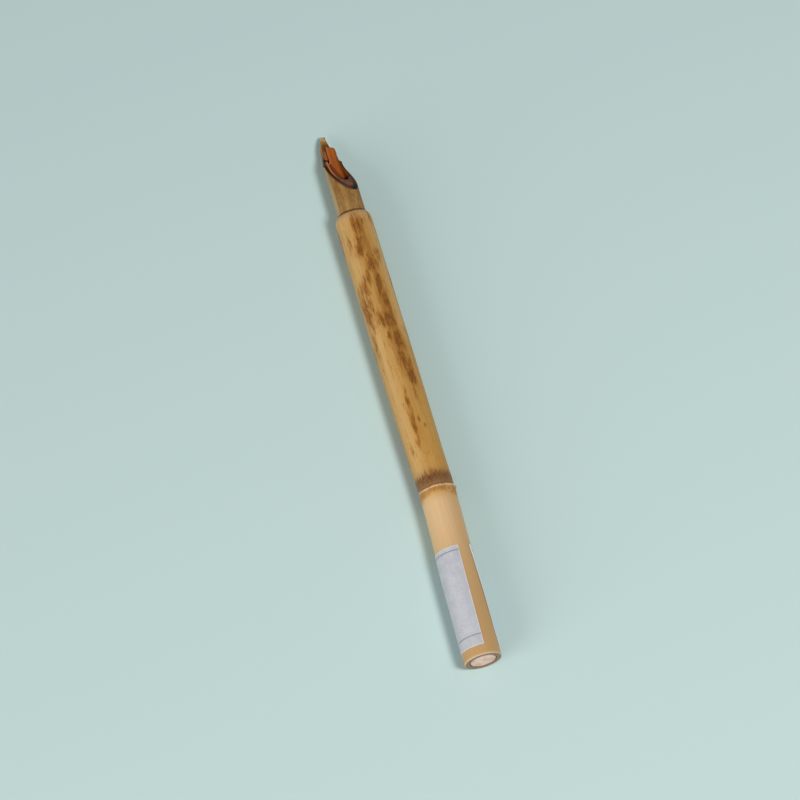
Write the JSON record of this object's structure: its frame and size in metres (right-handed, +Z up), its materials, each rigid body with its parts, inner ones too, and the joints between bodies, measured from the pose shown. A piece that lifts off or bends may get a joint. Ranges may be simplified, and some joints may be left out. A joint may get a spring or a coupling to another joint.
{
  "type": "reed dip pen",
  "caption": "Dip pen made of reed: a round bamboo holder with a node, a broad scooped reed nib with an inner ink reservoir, a wooden end plug and a blank paper label.",
  "frame": {"origin": "middle of the underside of the pen's box, on the surface that the pen lies on", "axes": "+X along the pen towards the nib's tip, +Z up with the nib's scoop opening upwards and to the -Y side"},
  "size_m": [0.1772, 0.0132, 0.0118],
  "materials": {
    "holder_bamboo": "waxed golden tan bamboo skin with brown mottling",
    "plug_wood": "bare sanded pale wood, end grain",
    "label_paper": "matt off-white paper",
    "nib_reed": "satin khaki-brown reed skin",
    "reservoir_reed": "thin orange-brown reed, slightly translucent"
  },
  "bodies": {
    "holder": {"holder_culm": "holder_bamboo", "end_plug": "plug_wood", "paper_label": "label_paper"},
    "nib": {"nib_reed": "nib_reed"},
    "reservoir": {"reservoir_reed": "reservoir_reed"}
  },
  "joints": [
    {"name": "nib_pull", "type": "slide", "parent": "holder", "child": "nib", "axis": [1, 0, 0], "range_m": [0, 0.022]},
    {"name": "reservoir_pull", "type": "slide", "parent": "nib", "child": "reservoir", "axis": [1, 0, 0], "range_m": [0, 0.038]}
  ]
}
